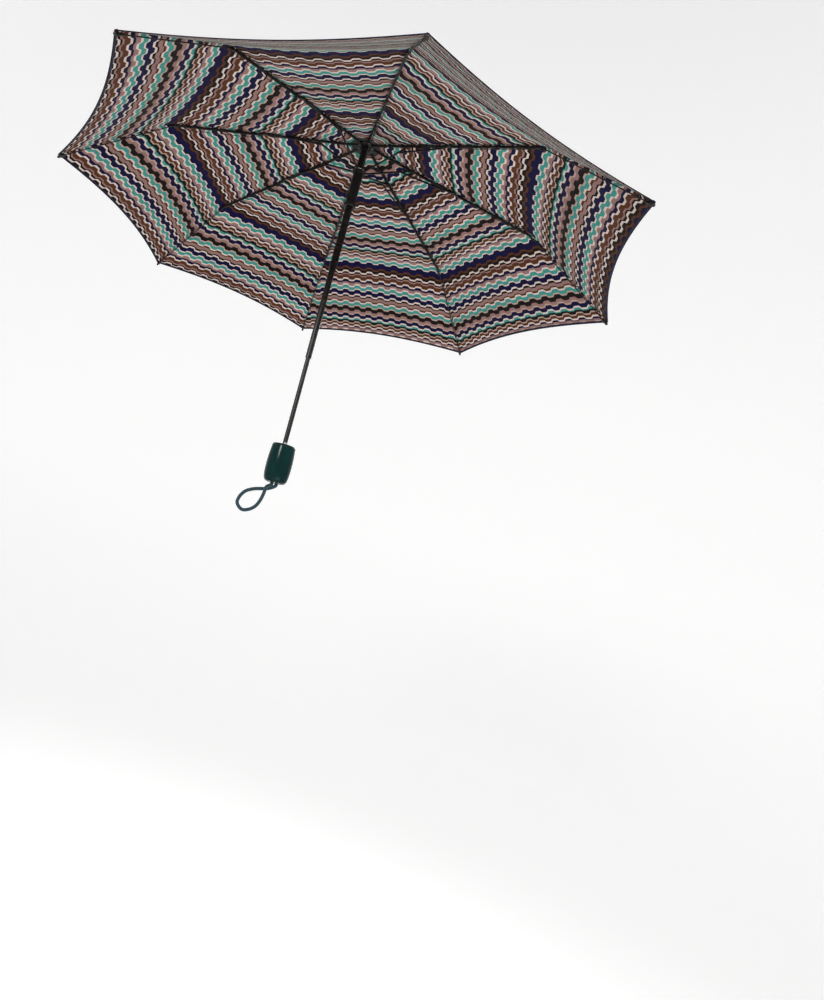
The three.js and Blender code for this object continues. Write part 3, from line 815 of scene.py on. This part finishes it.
def rib_matrix(rib, pivot, slope):
    """From a rib piece's own axes, X along it and Z square to it, to the part's frame."""
    turn = Matrix.Rotation(2 * math.pi * rib / RIBS, 4, "Z")
    shift = Matrix.Translation(Vector((pivot[0], 0, pivot[1])) * MM)
    return turn @ shift @ Matrix.Rotation(slope, 4, "Y")


def circle(sides):
    """Cosine and sine of each of a number of even steps round a circle."""
    angles = [2 * math.pi * k / sides for k in range(sides)]
    return [(math.cos(angle), math.sin(angle)) for angle in angles]


def rivet(bm, x, z, y_face, outward):
    """A domed rivet head that sits on an upright face at y_face."""
    rings = []
    for rise in (0, 25, 50, 72):
        r = RIVET_R * math.cos(math.radians(rise))
        y = y_face + outward * RIVET_DOME * math.sin(math.radians(rise))
        points = [Vector((x + r * c, y, z + r * s)) * MM for c, s in circle(12)]
        rings.append([bm.verts.new(point) for point in points])
    skin(bm, rings)


def thread_tie(bm, x, half_wide, low, high):
    """Sewing thread wound round a rib and through the cloth above it."""
    points = []
    for step in range(TIE_STEPS * TIE_TURNS + 1):
        angle = 2 * math.pi * step / TIE_STEPS
        c, s = math.cos(angle), math.sin(angle)
        y = half_wide * max(-1, min(1, TIE_SQUARE * c))
        z = (low + high) / 2 + (high - low) / 2 * max(-1, min(1, TIE_SQUARE * s))
        points.append(Vector((x + TIE_PITCH * step / TIE_STEPS, y, z)) * MM)
    tube(bm, points, TIE_R * MM, 6, "seam")


def tip_cap(bm):
    """The cap on the end of a tip rib, in the rib's own axes."""
    rings = []
    for radius, x in TIP_CAP_SHAPE:
        centre = Vector((TIP_RIB - TIP_CAP_BACK + x, 0, PIVOT_OFFSET))
        around = [Vector((0, radius * c, radius * s)) for c, s in circle(20)]
        rings.append([bm.verts.new((centre + spoke) * MM) for spoke in around])
    skin(bm, rings)


def fitted(bm, name, material, place, body):
    """A piece that rides on one body and has one slot."""
    piece = to_object(bm, name, [material], place)
    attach(piece, body)


def add_small_parts(thread, steel, black):
    """Ties, rivets, control wires and tip caps on each rib."""
    for rib in range(RIBS):
        top_place = rib_matrix(rib, CROWN, INNER_SLOPE)
        middle_place = rib_matrix(rib, ELBOW, INNER_SLOPE)
        outer_place = rib_matrix(rib, KNEE, OUTER_SLOPE)
        top_rib, mid_rib, tip_rib = f"top_rib_{rib}", f"mid_rib_{rib}", f"tip_rib_{rib}"

        top = bmesh.new()
        for x in TOP_TIES:
            thread_tie(top, x, 1.8, -1.8, CLOTH_LIFT - 0.1)
        fitted(top, f"thread_ties_top_{rib}", thread, top_place, top_rib)

        top = bmesh.new()
        rivet(top, STRETCHER_AT, 0, 3.5, 1)
        rivet(top, STRETCHER_AT, 0, -RIB_FACE, -1)
        rivet(top, TOP_RIB, PIVOT_OFFSET, 3.1, 1)
        rivet(top, TOP_RIB, PIVOT_OFFSET, -RIB_FACE, -1)
        fitted(top, f"rivets_top_{rib}", steel, top_place, top_rib)

        middle = bmesh.new()
        rivet(middle, MID_RIB, -2 * PIVOT_OFFSET, 3.1, 1)
        rivet(middle, MID_RIB, -2 * PIVOT_OFFSET, -RIB_FACE, -1)
        points = smooth_route([Vector((x, WIRE_Y, z)) * MM for x, z in WIRE_PATH], 40)
        tube(middle, points, WIRE_R * MM, 8, "seam")
        fitted(middle, f"control_wire_{rib}", steel, middle_place, mid_rib)

        middle = bmesh.new()
        for x in MIDDLE_TIES:
            thread_tie(middle, x, 1.8, -PIVOT_OFFSET - 1.8, CLOTH_LIFT - PIVOT_OFFSET - 0.1)
        fitted(middle, f"thread_ties_middle_{rib}", thread, middle_place, mid_rib)

        outer = bmesh.new()
        for x in OUTER_TIES:
            thread_tie(outer, x, 1.1, PIVOT_OFFSET - 1.1, PIVOT_OFFSET + CLOTH_LIFT - 0.1)
        fitted(outer, f"thread_ties_outer_{rib}", thread, outer_place, tip_rib)

        cap = bmesh.new()
        tip_cap(cap)
        thread_tie(cap, TIP_RIB - 6.5, 2.1, PIVOT_OFFSET - 2.1, PIVOT_OFFSET + CLOTH_LIFT - 0.3)
        fitted(cap, f"tip_cap_{rib}", black, outer_place, tip_rib)


# ---- wrist loop ----------------------------------------------------------------------------
def smooth_route(points, steps):
    """Evenly spaced points on the centripetal spline through points."""
    padded = [points[0] * 2 - points[1], *points, points[-1] * 2 - points[-2]]
    dense = []
    for p0, p1, p2, p3 in zip(padded, padded[1:], padded[2:], padded[3:]):
        d0, d1, d2 = ((b - a).length ** 0.5 or 1e-9 for a, b in ((p0, p1), (p1, p2), (p2, p3)))
        t1 = ((p1 - p0) / d0 - (p2 - p0) / (d0 + d1) + (p2 - p1) / d1) * d1
        t2 = ((p2 - p1) / d1 - (p3 - p1) / (d1 + d2) + (p3 - p2) / d2) * d1
        for step in range(24):
            t = step / 24
            cubic = (p2 * -2 + p1 * 2 + t1 + t2) * t**3
            square = (p1 * -3 + p2 * 3 - t1 * 2 - t2) * t * t
            dense.append(cubic + square + t1 * t + p1)
    dense.append(points[-1])
    lengths = [0.0]
    for a, b in zip(dense, dense[1:]):
        lengths.append(lengths[-1] + (b - a).length)
    route, i = [], 0
    for step in range(steps + 1):
        far = lengths[-1] * step / steps
        while i < len(dense) - 2 and lengths[i + 1] < far:
            i += 1
        share = (far - lengths[i]) / (lengths[i + 1] - lengths[i])
        route.append(dense[i].lerp(dense[i + 1], share))
    return route


def wrist_loop(material):
    """A cord that leaves the grip's end, crosses itself and goes back in beside its exit."""
    lean = math.radians(41)
    half = [
        (15, 1.5, 3.6), (24, -4.5, 3), (35, -11, 1.2), (48, -15, 0), (61, -13, 0), (70, -6.5, 0),
    ]
    back = [(along, -across, -y) for along, across, y in reversed(half)]

    def place(along, across, y):
        x = -along * math.sin(lean) + across * math.cos(lean)
        return Vector((x, y, -GRIP_HALF - along * math.cos(lean) - across * math.sin(lean))) * MM

    straight = (-29.2, -32.5, -36.5)
    outward = [Vector((CORD_EXIT_X, 0, z)) * MM for z in straight]
    inward = [Vector((-CORD_EXIT_X, 0, z)) * MM for z in reversed(straight)]
    points = outward + [place(*p) for p in half] + [place(*p) for p in back] + inward
    route = smooth_route(points, 200)

    def braid(travelled, around):
        spin = BRAID_STRANDS * 2 * math.pi * around
        climb = 2 * math.pi * BRAID_PITCH * travelled / MM
        return 0.97 + 0.04 * max(math.sin(spin + climb), math.sin(spin - climb))

    bm = bmesh.new()
    tube(bm, route, CORD_R * MM, 24, "braid", braid)
    loop = to_object(bm, "wrist_loop_cord", [material], sharp=80)
    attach(loop, "handle")
    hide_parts("wrist_loop")


# ---- handle --------------------------------------------------------------------------------
BUTTON_Z, RIDGE_GAP = 6.0, 2.8


def rounded_block(bm, half, middle, radius, steps):
    """A box with rounded upright corners, its length along Y, in millimetres."""
    corners = [(half[0], half[2]), (-half[0], half[2]), (-half[0], -half[2]), (half[0], -half[2])]
    outline = rounded(corners, radius, steps)
    mx, my, mz = middle
    rings = []
    for y, inset in ((-half[1], 0), (half[1] - 0.8, 0), (half[1] - 0.25, 0.25), (half[1], 0.8)):
        shrink_x, shrink_z = 1 - inset / half[0], 1 - inset / half[2]
        points = [(mx + x * shrink_x, my + y, mz + z * shrink_z) for x, z in outline]
        rings.append([bm.verts.new(Vector(point) * MM) for point in points])
    skin(bm, rings)


def handle_grip(material, seam_material):
    """The smooth barrel of the grip with its button window."""
    outer = [
        (12.6, -32.5), (14, -32.5), (15.6, -32), (17, -31), (18.3, -29.7), (19.2, -28),
        (20.1, -25.4), (20.7, -22), (21.25, -18), (21.6, -13), (21.82, -8), (21.9, -3),
        (21.85, 2.5), (21.7, 8), (21.45, 13), (21.1, 18), (20.75, 22.6), (20.3, 27),
        (20.05, 29.2), (19.7, 31), (19.4, 31.9), (18.9, 32.5),
    ]
    inner = [
        (18.2, 31.8), (18.2, 24), (19, 18), (19.6, 12), (19.9, 4), (19.9, -4),
        (19.7, -10), (19.4, -16), (17.6, -25), (15, -28), (12.6, -28.4),
    ]
    bm = bmesh.new()
    lathe(bm, outer + inner)
    shell = to_object(bm, "grip_barrel", [material], sharp=50)
    window = bmesh.new()
    rounded_block(window, (5, 7, 7), (0, 20, BUTTON_Z), 2.2, 5)
    cutter = to_object(window, "window_cutter", [])
    cut = shell.modifiers.new("window", "BOOLEAN")
    cut.operation, cut.object, cut.solver = "DIFFERENCE", cutter, "EXACT"
    applied(shell)
    bpy.data.objects.remove(cutter)
    finish_mesh(shell.data, 40)
    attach(shell, "handle")
    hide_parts("handle_shell")

    bm = bmesh.new()
    lathe(bm, rounded([(19.6, 29.8), (20.3, 29.8), (20.4, 29.1), (19.6, 29.1)], 0.2, 2))
    ring = to_object(bm, "grip_trim_ring", [seam_material])
    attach(ring, "handle")


def button_face(material):
    """The push button: a rounded pad with three grip ridges."""
    bm = bmesh.new()
    rounded_block(bm, (4.6, 3.8, 6.6), (0, 19.2, BUTTON_Z), 2.0, 6)
    for z in (BUTTON_Z - RIDGE_GAP, BUTTON_Z, BUTTON_Z + RIDGE_GAP):
        points = [Vector((x, 22.95, z)) * MM for x in (-2.6, -1.3, 0, 1.3, 2.6)]
        tube(bm, points, 0.25 * MM, 8, "seam")
    pad = to_object(bm, "button_pad", [material])
    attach(pad, "push_button")
    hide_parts("push_button")


# ---- putting it together -------------------------------------------------------------------
place_camera()
cord_material = braided("braided_cord", "163844")
wrist_loop(cord_material)
studio()

black_rib = coated_steel("lacquered_rib_steel", "0c0a0a", 0.3)
black_tube = coated_steel("lacquered_tube_steel", "0e0a09", 0.2, (0.22, 0.38))
bright = bare_steel()
black_moulding = moulded("black_moulding", "0b0a0a", 0.42, 0.25)
grip_plastic = moulded("glossy_teal_plastic", "012221", 0.14, 0.04, 0.04, 0.25, 0.08)
button_plastic = moulded("button_plastic", "171818", 0.35, 0.2)

cloth_outside = printed_cloth("printed_cloth_outside", 0.95, (1, 1, 1))
# The underside gets a darker, warmer copy of the print: painted shade.
cloth_inside = printed_cloth("printed_cloth_inside_shaded", 0.67, (1.07, 0.98, 0.97), 1.15)
patch_cloth = plain_cloth("dark_patch_cloth", "3a3835", 0.9)
hem_cloth = plain_cloth("navy_hem_tape", "0e0c24")
thread = plain_cloth("black_thread", "15141a", 0.4)

finishes = {
    "crown_wire": bright, "runner_wire": bright, "opening_spring": bright, "handle_pin": bright,
    "catch_plate": bright, "button_spring": bright,
    "crown_notch": black_moulding, "ferrule": black_moulding, "runner": black_moulding,
    "handle_cup": black_moulding, "handle_end_cap": grip_plastic, "push_button": button_plastic,
    "handle_shell": grip_plastic, "wrist_loop": cord_material, "canopy": cloth_outside,
    "upper_tube": black_tube, "middle_tube": black_tube, "lower_tube": black_tube,
}
# Every node that isn't listed is a rib, a stretcher or a link.
for name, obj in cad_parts.items():
    for material_slot in obj.material_slots:
        material_slot.material = finishes.get(name, black_rib)

make_canopy([cloth_outside, cloth_inside, patch_cloth, hem_cloth])
add_small_parts(thread, black_rib, black_moulding)
handle_grip(grip_plastic, black_moulding)
button_face(button_plastic)
